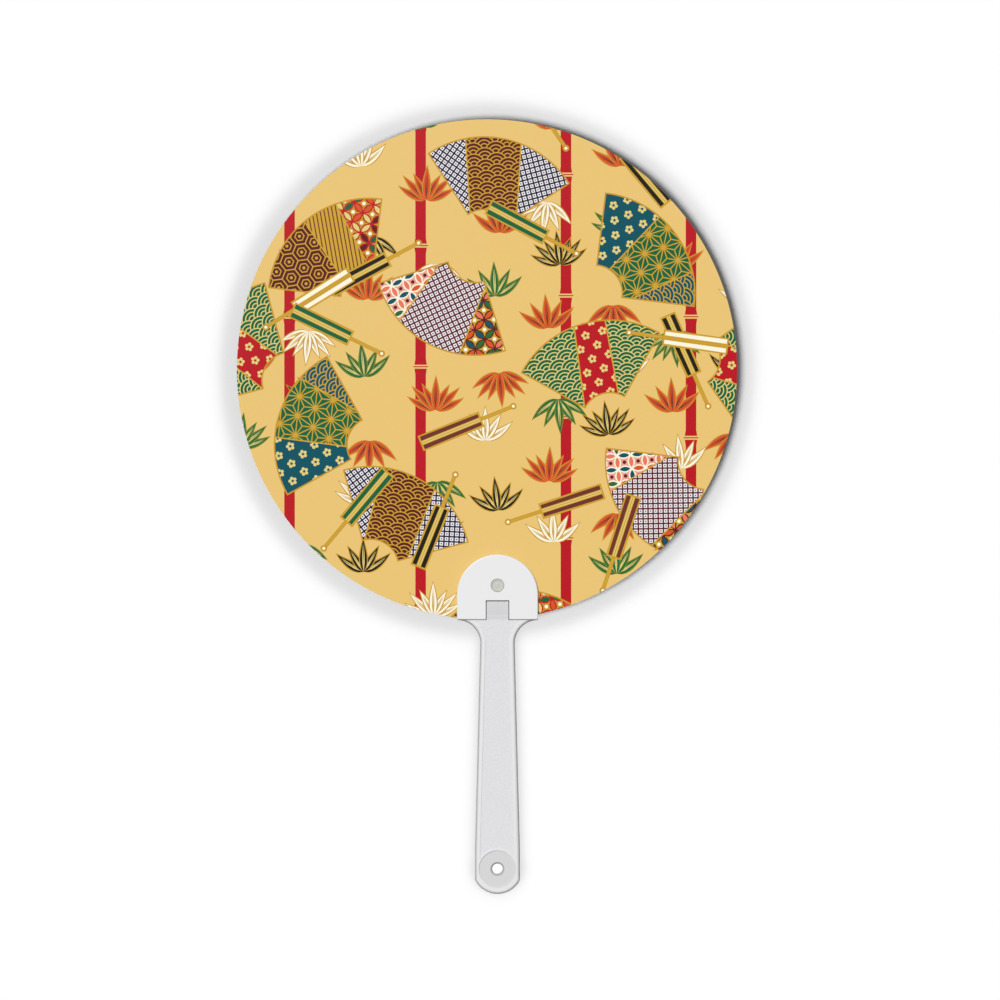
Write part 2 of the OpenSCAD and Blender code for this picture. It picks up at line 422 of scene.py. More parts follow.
# %% [markdown]
# Each pattern below gives the shapes of one patch as pairs of outline and ink, in the paper's own
# axes. Where a pattern is a net of lines, the patch is first painted in the colour of the lines and
# the cells are drawn a little too small, so that the net is what shows between them. That is far
# easier than drawing strokes that cross.
#
# Wave scales are the exception: their arcs are strokes, drawn only as far as they show, because
# nothing can hide behind a stroke.
# %% Wave scales
SCALE_R = 4.3
SCALE_STROKE = 0.42
ARC_SHARES = np.array([0.36, 0.68, 1.0])
ARC_STEPS = 7


def band(line, width):
    """The outline of a stroke: the line moved by half the width to its right, and back on its left.

    The direction at a point is the difference of its two neighbours, and left is that direction
    turned by a quarter.
    """
    along = np.gradient(line, axis=0)
    left = np.stack([-along[:, 1], along[:, 0]], axis=1)
    left *= width / 2 / np.linalg.norm(left, axis=1, keepdims=True)
    return np.concatenate([line - left, (line + left)[::-1]])


def wave_scales(patch, turn, line_ink):
    """Overlapping wave scales: each scale is three concentric arcs, trimmed by the scales in front.

    With scale radius R, the two scales in front lie R to each side and R/2 lower. An arc of radius
    r meets them where cos(a) - sin(a)/2 = (r^2 + R^2/4) / (2 r R), and it meets the scale
    straight below, R lower, where sin(a) = -r / (2R). It shows above the higher of the two.
    """
    tilt = math.degrees(math.atan(0.5))
    strokes = []
    for r in SCALE_R * ARC_SHARES:
        share = (r * r + SCALE_R**2 / 4) / (2 * r * SCALE_R * math.hypot(1, 0.5))
        beside = math.degrees(math.acos(min(1.0, share))) - tilt
        below = math.degrees(math.asin(-r / (2 * SCALE_R)))
        start = max(beside, below)
        line = arc(r - SCALE_STROKE / 2, start, 180 - start, ARC_STEPS)
        strokes.append(band(line, SCALE_STROKE))
    for at in lattice(patch, 2 * SCALE_R, SCALE_R / 2, turn, SCALE_R):
        for stroke in strokes:
            yield placed(stroke, at, turn), line_ink


def shapes_in(pattern, *inks):
    """How many shapes a pattern lays in a whole paper."""
    return sum(1 for _ in pattern(whole, 0, *inks))


print("strokes in a paper of wave scales:", shapes_in(wave_scales, "gold"))

# %% [markdown]
# Hemp leaf is a net of six-pointed stars. Its cells are the thirds of equal triangles, each drawn
# in from its sides by half a line, which is why a cell has to shrink evenly whatever its shape.
# %% Hemp leaves
HEMP_SIDE = 7.4
HEMP_LINE = 0.42


def shrunk(outline, inset):
    """A polygon whose sides all touch one circle, drawn in towards that circle's middle.

    The middle of a regular polygon is the mean of its corners. That of a triangle is the mean of
    its corners weighted by the lengths of the opposite sides. All points then move towards the
    middle by the share that the inset is of the circle's radius.
    """
    after = np.roll(outline, -1, axis=0)
    sides = np.linalg.norm(after - outline, axis=1)
    weights = np.roll(sides, -1) if len(outline) == 3 else np.ones(len(outline))
    middle = (outline * weights[:, None]).sum(0) / weights.sum()
    edge, spoke = after[0] - outline[0], middle - outline[0]
    radius = abs(edge[0] * spoke[1] - edge[1] * spoke[0]) / sides[0]
    return middle + (outline - middle) * (1 - inset / radius)


def hemp_leaves(patch, turn, cell_ink):
    """A lattice of equal triangles, each cut into three by lines from its middle to its corners."""
    height = HEMP_SIDE * math.sqrt(0.75)
    for at in lattice(patch, HEMP_SIDE, height, turn, HEMP_SIDE):
        for up in (1, -1):
            corners = np.array([[0, 0], [HEMP_SIDE, 0], [HEMP_SIDE / 2, up * height]])
            middle = corners.mean(axis=0)
            for first, second in ((0, 1), (1, 2), (2, 0)):
                cell = np.array([corners[first], corners[second], middle])
                yield placed(shrunk(cell, HEMP_LINE / 2), at, turn), cell_ink


print("cells in a paper of hemp leaves:", shapes_in(hemp_leaves, "forest"))

# %% [markdown]
# Tortoise shell is a honeycomb with a ring and a dot in each cell. The ring is a polygon with a
# smaller one on it, because a filled shape on a filled shape needs no hole.
# %% Tortoise shell
SHELL_R = 3.5
SHELL_LINE = 0.45
SHELL_RING = (0.58, 0.44)
SHELL_DOT = 0.18


def tortoise_shell(patch, turn, cell_ink, line_ink):
    """Six-sided cells side by side, with a smaller six-sided ring and a dot in each."""
    hexagon = arc(SHELL_R, 30, 390, 6)[:-1]
    for at in lattice(patch, SHELL_R * math.sqrt(3), SHELL_R * 1.5, turn, SHELL_R):
        yield placed(shrunk(hexagon, SHELL_LINE / 2), at, turn), cell_ink
        yield placed(hexagon * SHELL_RING[0], at, turn), line_ink
        yield placed(hexagon * SHELL_RING[1], at, turn), cell_ink
        yield placed(hexagon * SHELL_DOT, at, turn), line_ink


print("shapes in a paper of tortoise shell:", shapes_in(tortoise_shell, "maroon", "gold"))

# %% [markdown]
# Seven treasures are circles that overlap their neighbours. Circles themselves would hide each
# other, so what is drawn is what the eye sees: the petals of the overlaps and the star between them.
# %% Seven treasures
CIRCLE_R = 3.7
PETAL_SHARE = 0.8
STAR_SHARE = 0.76
STAR_DOT_R = 0.75


def seven_treasures(patch, turn, petal_inks, star_ink, dot_ink):
    """Circles that each overlap four others. The overlaps are petals, and a star is left inside.

    A petal lies between a circle of radius R about 0, 0 and one about R, R, so its sides are the
    arc from 0 to 90 degrees of the first and from 180 to 270 degrees of the second.
    """
    corner = np.array([CIRCLE_R, CIRCLE_R])
    lens = [arc(CIRCLE_R, 0, 90, 5)[:-1], (corner + arc(CIRCLE_R, 180, 270, 5))[:-1]]
    petal = corner / 2 + (np.concatenate(lens) - corner / 2) * PETAL_SHARE
    hollow = (corner + arc(CIRCLE_R, 270, 180, 3))[:-1]
    star = np.concatenate([placed(hollow, (0, 0), 90 * quarter) for quarter in range(4)])
    for number, at in enumerate(lattice(patch, 2 * CIRCLE_R, CIRCLE_R, turn, 2 * CIRCLE_R)):
        yield placed(star * STAR_SHARE, at, turn), star_ink
        yield placed(ring(STAR_DOT_R, 6), at, turn), dot_ink
        for quarter in (0, -1):
            ink = petal_inks[(number + quarter) % len(petal_inks)]
            yield placed(placed(petal, (0, 0), 90 * quarter), at, turn), ink


laid = shapes_in(seven_treasures, ("teal",), "gold", "cream")
print("shapes in a paper of seven treasures:", laid)

# %% [markdown]
# Fawn spots come from tie-dyed cloth, where each tied knot leaves a pale square with a dot. At this
# size a square set cornerwise says as much as a ragged one.
# %% Fawn spots
SPOT_PITCH = 2.7
SPOT_R = 0.94
SPOT_DOT_R = 0.34


def fawn_spots(patch, turn, spot_ink, dot_ink):
    """Small squares set cornerwise in rows, each with a dot, like tie-dyed fawn spots."""
    for at in lattice(patch, SPOT_PITCH, SPOT_PITCH / 2, turn, SPOT_PITCH):
        yield placed(ring(SPOT_R, 4), at, turn), spot_ink
        yield placed(ring(SPOT_DOT_R, 4), at, turn), dot_ink


print("shapes in a paper of fawn spots:", shapes_in(fawn_spots, "cream", "maroon"))

# %% [markdown]
# A plum blossom is five round petals about a heart. The petals overlap, so one outline round all
# five isn't needed.
# %% Plum blossoms
BLOSSOM_PITCH = (6.6, 4.6)
BLOSSOM_REACH = 2.0
PETAL_R = 0.66
PETALS_AT = 1.05
HEART_R = 0.42


def plum_blossoms(patch, turn, petal_ink, heart_ink):
    """Five round petals about a heart, scattered on a wide lattice."""
    petals = [arc(PETALS_AT, 90 + 72 * number, 90, 1)[0] for number in range(5)]
    for at in lattice(patch, *BLOSSOM_PITCH, turn, BLOSSOM_REACH):
        for petal in petals:
            yield placed(ring(PETAL_R, 7) + petal, at, turn), petal_ink
        yield placed(ring(HEART_R, 6), at, turn), heart_ink


print("shapes in a paper of plum blossoms:", shapes_in(plum_blossoms, "cream", "crimson"))

# %% [markdown]
# Stripes need no lattice of cells: a row of long thin boxes is enough, and the patch trims them.
# %% Stripes
STRIPE_PITCH = 1.5
STRIPE_WIDTH = 0.45
STRIPE_REACH = 17.0


def stripes(patch, turn, line_ink):
    """Fine straight stripes about the middle of a patch, long enough to cross it."""
    middle = np.array([patch[:, 0].mean(), PAPER_MIDDLE[1]])
    for shift in np.arange(-STRIPE_REACH, STRIPE_REACH, STRIPE_PITCH):
        stripe = box(2 * STRIPE_REACH, STRIPE_WIDTH) + [0, shift]
        yield placed(stripe, middle, turn), line_ink


print("stripes in a patch:", shapes_in(stripes, "russet"))

# %% [markdown]
# A paper is then a gold edge, a seam-coloured sheet inside it, and its patches. Five kinds of paper
# repeat over the blade in different turns, so that a few kinds look like many.
# %% Five kinds of paper
MIXED_PETALS = ("vermilion", "teal", "coral", "leaf_green")
RED_PETALS = ("vermilion", "forest", "maroon", "pale_gold")
# For each patch: its right-hand seam, the ink laid first, the pattern, the pattern's turn and inks
PAPER_KINDS = {
    "garden": (
        ((-2, -8), "teal", plum_blossoms, 20, ("pale_gold", "teal")),
        ((8, 18), "gold", hemp_leaves, 10, ("forest",)),
        ((BEYOND, BEYOND), "teal", wave_scales, -14, ("gold",)),
    ),
    "patchwork": (
        ((-8, -13), "maroon", seven_treasures, 30, (MIXED_PETALS, "gold", "cream")),
        ((9, 14), "maroon", fawn_spots, 8, ("lilac_white", "maroon")),
        ((BEYOND, BEYOND), "cream", seven_treasures, 12, (MIXED_PETALS, "pink", "maroon")),
    ),
    "brocade": (
        ((-4, -1), "gold", tortoise_shell, 0, ("maroon", "gold")),
        ((6, 13), "gold", stripes, 62, ("russet",)),
        ((BEYOND, BEYOND), "crimson", seven_treasures, 45, (RED_PETALS, "ochre", "cream")),
    ),
    "river": (
        ((-5, -16), "ink_blue", fawn_spots, 22, ("lilac_white", "ink_blue")),
        ((12, 6), "maroon", wave_scales, 16, ("gold",)),
        ((BEYOND, BEYOND), "ink_blue", fawn_spots, -18, ("lilac_white", "ink_blue")),
    ),
    "meadow": (
        ((-9, -3), "forest", wave_scales, 12, ("pale_gold",)),
        ((5, 9), "crimson", plum_blossoms, 0, ("pale_gold", "crimson")),
        ((BEYOND, BEYOND), "forest", wave_scales, -12, ("pale_gold",)),
    ),
}
print("kinds of paper:", ", ".join(PAPER_KINDS))

# %% [markdown]
# Each paper's place is kept as it is laid, because a later step asks what lies wholly under it.
# %% Lay a paper
PAPER_EDGE = 0.55
paper_places = []


def paper(kind, middle, turn):
    """An open paper whose middle lies at the given place."""
    at = np.asarray(middle) - placed(PAPER_MIDDLE, (0, 0), turn)
    paper_places.append((len(outlines), at, turn))
    paint(placed(paper_outline(PAPER_EDGE), at, turn), "ochre")
    sheet = paint(placed(paper_outline(0), at, turn), "gold")
    left = (-BEYOND, -BEYOND)
    for right, ground_ink, pattern, pattern_turn, inks in PAPER_KINDS[kind]:
        corners = patch_between(left, right)
        patch = paint(placed(corners, at, turn), ground_ink, sheet)
        for outline, ink in pattern(corners, pattern_turn, *inks):
            paint(placed(outline, at, turn), ink, patch)
        left = right


# %% [markdown]
# ## Closed fans
#
# Among the open papers lie closed fans: two dark outer sticks with the folded paper between them,
# drawn out to a thin handle with a rivet. All of it is boxes and rings, each a hair wider gold one
# under a coloured one, which gives the fine gold line round every part.
# %% Closed fans
HANDLE_LENGTH = 13.0
FOLDED_LENGTH = 25.0
FOLD_AT = 0.4
FOLD_LINE = (0.35, FOLDED_LENGTH - 1.4)
# The inks of the sticks and of the fold lines
CLOSED_FAN_INKS = {
    "black": ("lamp_black", "pale_gold"),
    "green": ("forest", "pale_gold"),
    "brown": ("russet", "pale_gold"),
    "cream": ("cream", "ochre"),
}


def closed_fan(kind, rivet, turn):
    """A closed fan that points up from its rivet before it is turned."""
    stick_ink, fold_ink = CLOSED_FAN_INKS[kind]
    end = FOLDED_LENGTH / 2 - 0.7
    stick = np.array([[0.9, -end], [2.3, -end], [2.55, end], [0.9, end]])
    handle_at = [0, HANDLE_LENGTH / 2]
    folded_at = [0, HANDLE_LENGTH + FOLDED_LENGTH / 2]
    for outline, ink in (
        (box(1.5, HANDLE_LENGTH + 2) + handle_at, "ochre"),
        (box(0.7, HANDLE_LENGTH + 1) + handle_at, "gold"),
        (ring(1.3, 12), "ochre"),
        (ring(0.6, 8), "cream"),
        (box(6.2, FOLDED_LENGTH) + folded_at, "ochre"),
        (box(5.6, FOLDED_LENGTH - 0.6) + folded_at, "gold"),
        (stick + folded_at, stick_ink),
        ((stick * [-1, 1])[::-1] + folded_at, stick_ink),
        (box(*FOLD_LINE) + [-FOLD_AT, folded_at[1]], fold_ink),
        (box(*FOLD_LINE) + [FOLD_AT, folded_at[1]], fold_ink),
    ):
        paint(placed(outline, rivet, turn), ink)


# %% [markdown]
# The papers and closed fans are placed one by one.
# Each row says the kind, the place of the paper's middle or the fan's rivet, and the turn.
# %% Set out the papers and closed fans
PAPERS = (
    ("brocade", (-60, 46), 38),
    ("river", (4, 74), -12),
    ("garden", (60, 44), -52),
    ("patchwork", (-16, 22), 152),
    ("meadow", (40, 4), 16),
    ("garden", (-66, -22), 74),
    ("river", (-32, -54), -30),
    ("patchwork", (64, -50), 128),
    ("brocade", (8, -98), 10),
    ("meadow", (102, 0), -100),
    ("meadow", (-96, 8), 60),
)
CLOSED_FANS = (
    ("black", (-26, 48), 118),
    ("green", (34, 44), 62),
    ("cream", (-84, 16), -58),
    ("brown", (10, -14), 112),
    ("black", (84, -14), 24),
    ("green", (-62, -68), -40),
    ("brown", (8, -58), -72),
    ("cream", (54, 14), -98),
    ("brown", (-44, 86), 96),
    ("black", (44, 92), -140),
    ("green", (-40, 6), 64),
    ("black", (-12, -40), 158),
    ("cream", (30, 84), 34),
    ("brown", (44, -84), -18),
)
for kind, middle, turn in PAPERS:
    paper(kind, middle, turn)
for kind, rivet, turn in CLOSED_FANS:
    closed_fan(kind, rivet, turn)
print("outlines with the papers and fans:", len(outlines))

# %% [markdown]
# About one outline in six can't be seen: such outlines lie off the blade, or wholly under a paper.
# They are left out before the triangulation, because each one costs triangles under the paint.
# %% Leave out what can't be seen


def worth_drawing():
    """The numbers of the outlines that can be seen: on the blade, and not wholly under a paper.

    An outline is off the blade if its mean point is farther out than the rim by more than the
    outline's own reach. It is under a later paper if all its points, taken back to that paper's
    axes, lie between the paper's two radii and within its half angle.
    """
    lengths = [len(outline) for outline in outlines]
    starts = np.cumsum([0] + lengths)[:-1]
    points = np.concatenate(outlines)
    owner = np.repeat(np.arange(len(outlines)), lengths)
    middles = np.array([outline.mean(axis=0) for outline in outlines])
    reach = np.maximum.reduceat(np.hypot(*(points - middles[owner]).T), starts)
    shown = np.hypot(*middles.T) - reach < blade_r
    for number, at, turn in paper_places:
        back = placed(points - at, (0, 0), -turn)
        radius = np.hypot(*back.T)
        swing = np.degrees(np.arctan2(np.abs(back[:, 0]), back[:, 1]))
        under = (radius < PAPER_OUTER) & (radius > PAPER_INNER) & (swing < PAPER_HALF_ANGLE)
        shown[:number] &= ~np.minimum.reduceat(under, starts)[:number]
    return np.flatnonzero(shown)


drawn = worth_drawing()
print(f"outlines in the whole drawing: {len(outlines)}, of which {len(drawn)} can be seen")

# %% [markdown]
# ## From outlines to a film
#
# A printed film is one closed skin: a face cut into triangles along every outline, a thin rim and a
# plain back. Blender's planar triangulation takes all outlines at once, finds where they cross, and
# says for each triangle which outlines hold it. The last one painted gives the triangle its ink.
# %% Inks
INKS = {
    "gold_paper": (233, 196, 118),
    "crimson": (186, 20, 32),
    "vermilion": (216, 84, 38),
    "coral": (232, 120, 92),
    "leaf_green": (42, 104, 52),
    "forest": (22, 98, 60),
    "moss": (120, 132, 40),
    "teal": (6, 82, 96),
    "lamp_black": (32, 28, 16),
    "ink_blue": (30, 30, 52),
    "maroon": (92, 26, 28),
    "russet": (112, 50, 40),
    "ochre": (198, 150, 44),
    "gold": (206, 162, 52),
    "pale_gold": (226, 206, 128),
    "cream": (252, 246, 222),
    "lilac_white": (238, 234, 238),
    "pink": (236, 158, 140),
}
ink_names = list(INKS)
print("inks:", len(ink_names))

# %% [markdown]
# A film has the sheet's own outline, with a notch for the handle's key and a hole for the pin. The
# two sides of the blade are mirror images of each other, so the outline is asked for by side.
# %% The blade as a flat region
RIM_STEPS = 720
HOLE_STEPS = 48


def blade_region(side):
    """The blade's outline and its two cut-outs, as a viewer of that side sees them."""
    axis_u = -side * blade_x
    notch_top = KEY_NOTCH_TOP_Z - blade_z
    notch = box(2 * KEY_NOTCH_HALF_WIDTH, 2 * blade_r) + [axis_u, notch_top - blade_r]
    hole = ring(PIN_HOLE_R, HOLE_STEPS) + [axis_u, pin_z - blade_z]
    return ring(blade_r, RIM_STEPS), notch, hole


def in_cut_outs(points, side):
    """True for points inside the key's notch or the pin's hole."""
    _, notch, hole = blade_region(side)
    in_notch = (points > notch.min(axis=0)).all(axis=1) & (points < notch.max(axis=0)).all(axis=1)
    return in_notch | (np.hypot(*(points - hole.mean(axis=0)).T) < PIN_HOLE_R)


print("the pin's place is cut out:", in_cut_outs(blade_region(1)[2].mean(axis=0)[None], 1).tolist())

# %% [markdown]
# Cutting shapes into each other one by one would be slow and would leave cracks. One triangulation
# of all outlines together has none: every crossing becomes a corner that both sides share.
# %% Triangles and their inks
CLOSENESS = 1e-5
DEEPEST_NEST = 3


def triangulated(shapes):
    """Corners, triangles and, as flat pairs, which triangle lies inside which shape."""
    starts = np.cumsum([0] + [len(s) for s in shapes])
    faces = [list(range(a, b)) for a, b in zip(starts, starts[1:])]
    corners, _, triangles, _, _, holders = geometry.delaunay_2d_cdt(
        np.concatenate(shapes).tolist(), [], faces, 1, CLOSENESS, True
    )
    counts = [len(h) for h in holders]
    triangle_of = np.repeat(np.arange(len(triangles)), counts)
    shape_of = np.concatenate([np.array(h, int) for h in holders])
    return np.array([tuple(c) for c in corners]), np.array(triangles), triangle_of, shape_of


def top_ink(count, triangle_of, shape_of, first_drawn, inks, within):
    """For each triangle the number of its topmost ink. Bare paper is ink 0.

    A shape counts on a triangle if it needs no other, or if the shape that it shows in counts there
    too. Three rounds settle that, because a pattern shows in a patch, which shows in a paper.
    """
    needed = [w + first_drawn if w >= 0 else w for w in within]
    within = np.array([EVERYWHERE] * first_drawn + needed)
    key = triangle_of * len(within) + shape_of
    needs = within[shape_of]
    counts = np.ones(len(key), bool)
    for _ in range(DEEPEST_NEST):
        counts = (needs < 0) | np.isin(triangle_of * len(within) + needs, key[counts])
    top = np.full(count, first_drawn - 1)
    np.maximum.at(top, triangle_of[counts], shape_of[counts])
    numbers = np.array([0] + [ink_names.index(name) for name in inks])
    return numbers[np.maximum(top - first_drawn + 1, 0)]


print("triangles of a small box in a large one:", len(triangulated([box(4, 4), box(2, 2)])[1]))

# %% [markdown]
# The back of a film bears no drawing, so it is triangulated by itself from the rim's points alone.
# A solidify modifier would copy the whole face instead, and double the triangles of the piece.
# %% A plain back for a face
RIM_CLOSENESS = 1e-9
RIM_SLACK = 0.002


def used_only(corners, triangles):
    """The same triangles with the corners that none of them uses left out."""
    used, renumbered = np.unique(triangles, return_inverse=True)
    return corners[used], renumbered.reshape(-1, 3)


def open_edges(triangles):
    """The directed edges that only one triangle has. A shared edge is there in both directions."""
    edges = np.concatenate([triangles[:, [0, 1]], triangles[:, [1, 2]], triangles[:, [2, 0]]])
    size = triangles.max() + 1
    shared = np.isin(edges[:, 0] * size + edges[:, 1], edges[:, 1] * size + edges[:, 0])
    return edges[~shared]


def on_true_circle(points):
    """Moves points that lie on the short straight lines of the rim out to the circle itself.

    Points in line with each other would leave the back's triangulation with nothing to choose by.
    """
    radius = np.hypot(*points.T)
    stretch = np.where(radius > blade_r - RIM_SLACK, blade_r / np.maximum(radius, 1), 1)
    return points * stretch[:, None]


def plain_back(rim_points, rim_edges, side):
    """Triangles that fill the same outline without any drawing.

    The rim's edges run with the inside on their left. A triangle that has one of them in the other
    direction is a sliver outside the rim, and is left out.
    """
    points, _, triangles, _, _, _ = geometry.delaunay_2d_cdt(
        rim_points.tolist(), rim_edges.tolist(), [], 0, RIM_CLOSENESS, False
    )
    assert len(points) == len(rim_points), "the back's corners are not the rim's"
    triangles = np.array(triangles)
    size = len(points)
    against = triangles[:, [1, 2, 0]] * size + triangles
    outside = np.isin(against, rim_edges[:, 0] * size + rim_edges[:, 1]).any(axis=1)
    return triangles[~outside & ~in_cut_outs(rim_points[triangles].mean(axis=1), side)]


square = np.array([[0, 1, 2], [0, 2, 3]])
print("loose edges of a square of two triangles:", len(open_edges(square)))

# %% [markdown]
# A skin is the face, the back and a wall of four-sided faces along every loose edge. The few gaps
# that rounding leaves are closed at the end, because a printed part has to be watertight.
# %% A closed skin


def new_piece(name, places, faces):
    """An object at the origin, with corners in millimetres and faces as lists of corner numbers."""
    mesh = bpy.data.meshes.new(name)
    mesh.from_pydata((np.asarray(places, float) * MM).tolist(), [], faces)
    piece = bpy.data.objects.new(name, mesh)
    bpy.context.scene.collection.objects.link(piece)
    return piece


def close_slivers(mesh):
    """Fills the few hair-thin gaps that rounding leaves, so that the skin is watertight.

    A triangle of no area that shares none of its edges is left over from the rim, and is deleted.
    """
    net = bmesh.new()
    net.from_mesh(mesh)
    bmesh.ops.holes_fill(net, edges=[edge for edge in net.edges if edge.is_boundary], sides=0)
    alone = [face for face in net.faces if all(edge.is_boundary for edge in face.edges)]
    bmesh.ops.delete(net, geom=alone, context="FACES")
    net.to_mesh(mesh)
    net.free()


def skin(name, corners, triangles, inks, side, outer_y, inner_y):
    """A closed flat piece: the inked face at outer_y, a rim, and a plain back at inner_y.

    Side 1 faces -Y and side -1 faces +Y. A drawing's u runs to the right for a viewer of that side,
    so x is the blade's middle plus side times u.
    """
    corners = on_true_circle(corners)
    edge = open_edges(triangles)
    rim, edge_in_rim = np.unique(edge, return_inverse=True)
    edge_in_rim = edge_in_rim.reshape(-1, 2)
    back = plain_back(corners[rim], edge_in_rim, side)[:, ::-1] + len(corners)
    walls = np.column_stack([edge[:, ::-1], edge_in_rim + len(corners)])
    flat = np.concatenate([corners, corners[rim]])
    depth = np.concatenate([np.full(len(corners), outer_y), np.full(len(rim), inner_y)])
    places = np.stack([blade_x + side * flat[:, 0], depth, blade_z + flat[:, 1]], axis=1)
    piece = new_piece(name, places, [*triangles.tolist(), *back.tolist(), *walls.tolist()])
    all_inks = np.concatenate([inks, np.zeros(len(back) + len(walls), int)])
    piece.data.polygons.foreach_set("material_index", all_inks)
    close_slivers(piece.data)
    return piece


# %% [markdown]
# The whole way from a drawing to a piece: triangulate the region with the outlines, look up the
# inks, drop what lies outside or in a cut-out, and make the skin.
# %% A flat piece with a drawing
DISC_SLACK = 0.001


def flat_piece(name, side, outer_y, inner_y, drawing, inks, within, shown):
    """A closed flat piece in the blade's shape, with a drawing on its outer face."""
    region = blade_region(side)
    shapes = [*region, *(drawing[number] for number in shown)]
    corners, triangles, triangle_of, shape_of = triangulated(shapes)
    shape_of = np.concatenate([np.arange(len(region)), shown + len(region)])[shape_of]
    numbers = top_ink(len(triangles), triangle_of, shape_of, len(region), inks, within)
    in_disc = np.hypot(*corners[triangles].T).max(axis=0) < blade_r + DISC_SLACK
    kept = in_disc & ~in_cut_outs(corners[triangles].mean(axis=1), side)
    corners, triangles = used_only(corners, triangles[kept])
    print(f"{name}: {len(triangles)} triangles on the outer face")
    return skin(name, corners, triangles, numbers[kept], side, outer_y, inner_y)


# %% [markdown]
# The two films and the bare sheet between them are the same flat piece, with and without a drawing.
# They take the places of the frame's nodes to a few hundredths of a millimetre. The sheet's sheared
# edge is broken by a narrow bevel, which catches the light as a real one does.
# %% Films and sheet
CORE_EDGE = 0.06
film_low, _ = box_mm("front_print")
_, film_high = box_mm("back_print")
picture = (outlines, outline_inks, outline_within, drawn)
bare = ([], [], [], np.zeros(0, int))
front_film = flat_piece("front_film", 1, film_low[1], sheet_low[1], *picture)
back_film = flat_piece("back_film", -1, film_high[1], sheet_high[1], *picture)
blade_core = flat_piece("blade_core", 1, sheet_low[1], sheet_high[1], *bare)
bevel = blade_core.modifiers.new("sheared_edge", "BEVEL")
bevel.width = CORE_EDGE * MM
bevel.segments = 2
for piece, replaced, slot in (
    (front_film, "front_print", "print_film"),
    (back_film, "back_print", "print_film"),
    (blade_core, "blade_sheet", "sheet_plastic"),
):
    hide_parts(replaced)
    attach(piece, "root")
print("faces of the two films:", len(front_film.data.polygons), len(back_film.data.polygons))

# %% [markdown]
# ## Finishes
#
# A finish is a small network of shader nodes. Each node below is made in one call, which fills its
# inputs with plain values or with the outputs of other nodes. What is the same all over a surface
# is a plain value on the shader's own input.
# %% Nodes in one call


def fill(tree, made, inputs):
    """Gives each input, by name or number, its value, or a link where the value is a socket."""
    for socket, value in inputs.items():
        if isinstance(value, bpy.types.NodeSocket):
            tree.links.new(value, made.inputs[socket])
        else:
            made.inputs[socket].default_value = value


def add(tree, kind, inputs, **settings):
    """A new node of a kind, with its settings and its inputs."""
    made = tree.nodes.new(kind)
    for setting, value in settings.items():
        setattr(made, setting, value)
    fill(tree, made, inputs)
    return made


def fresh(name, colour, roughness, specular):
    """A material of one linear colour, with its node tree and its shader."""
    material = bpy.data.materials.new(name)
    material.use_nodes = True
    tree = material.node_tree
    shader = tree.nodes["Principled BSDF"]
    inputs = {"Base Color": colour, "Roughness": roughness, "Specular IOR Level": specular}
    fill(tree, shader, inputs)
    return material, tree, shader


# %% [markdown]
# No plastic is perfectly even. A noise pattern in the object's own space varies the gloss and tilts
# the surface by a hair. An image could do it too, but noise has no seam and any scale.
# %% A fine surface from noise
# The range in which a noise mostly lies
NOISE_LOW = 0.3
NOISE_HIGH = 0.7


def place(tree):
    """The place of a point of the surface, in metres, from the origin of the frame."""
    return add(tree, "ShaderNodeTexCoord", {}).outputs["Object"]


def noise(tree, grain_mm, detail=2.0):
    """A noise pattern with grains of about the given size."""
    inputs = {"Vector": place(tree), "Scale": 1 / (grain_mm * MM), "Detail": detail}
    return add(tree, "ShaderNodeTexNoise", inputs).outputs["Fac"]


def mapped(tree, value, from_low, from_high, low, high):
    """A value mapped evenly from one range to another, and kept within it."""
    inputs = {
        "Value": value, "From Min": from_low, "From Max": from_high, "To Min": low, "To Max": high,
    }
    return add(tree, "ShaderNodeMapRange", inputs).outputs["Result"]


def bumped(tree, shader, factor, height_mm):
    """Tilts the shader's normal as if the factor raised the surface by up to the height."""
    bump = add(tree, "ShaderNodeBump", {"Height": factor, "Distance": height_mm * MM})
    tree.links.new(bump.outputs["Normal"], shader.inputs["Normal"])


print(f"a noise's usual range is {NOISE_LOW} to {NOISE_HIGH}")

# %% [markdown]
# Each ink is its own material with one plain colour. What the inks share is the clear satin film
# over them: its gloss varies over about a millimetre and its surface is uneven by a few thousandths
# of one, which keeps a large flat disc from looking like paper.
# %% Inks under a satin film
FILM_ROUGHNESS = 0.35
FILM_ROUGHNESS_RANGE = (0.3, 0.42)
FILM_SPECULAR = 0.1
PEEL_GRAIN = 1.1
PEEL_HEIGHT = 0.004
SHEET_WHITE = seen(242, 242, 239)
SHEET_ROUGHNESS, SHEET_SPECULAR = 0.5, 0.3
for name, colour in INKS.items():
    material, tree, shader = fresh("ink_" + name, seen(*colour), FILM_ROUGHNESS, FILM_SPECULAR)
    peel = noise(tree, PEEL_GRAIN)
    gloss = mapped(tree, peel, NOISE_LOW, NOISE_HIGH, *FILM_ROUGHNESS_RANGE)
    tree.links.new(gloss, shader.inputs["Roughness"])
    bumped(tree, shader, peel, PEEL_HEIGHT)
    for piece in (front_film, back_film):
        piece.data.materials.append(material)
sheet_white, _, _ = fresh("sheet_white", SHEET_WHITE, SHEET_ROUGHNESS, SHEET_SPECULAR)
blade_core.data.materials.append(sheet_white)
print("materials of a film:", len(front_film.data.materials))

# %% [markdown]
# ## The moulded pieces
#
# The handle, the clasp and the pin are injection mouldings whose CAD shapes are right, so they
# stay. A mould never leaves a razor edge, and a CAD mesh is loose flat triangles. So modifiers join
# the triangles, melt flat ones into one face, break the corners by a hair and shade the curves
# smooth. The angle that parts a curve from a corner is asked for in a small node group.
# %% Smooth curves and broken corners
SMOOTH_ANGLE = math.radians(35)
FLAT_ANGLE = math.radians(0.3)
CORNER = 0.05
WELD_DISTANCE = 0.001


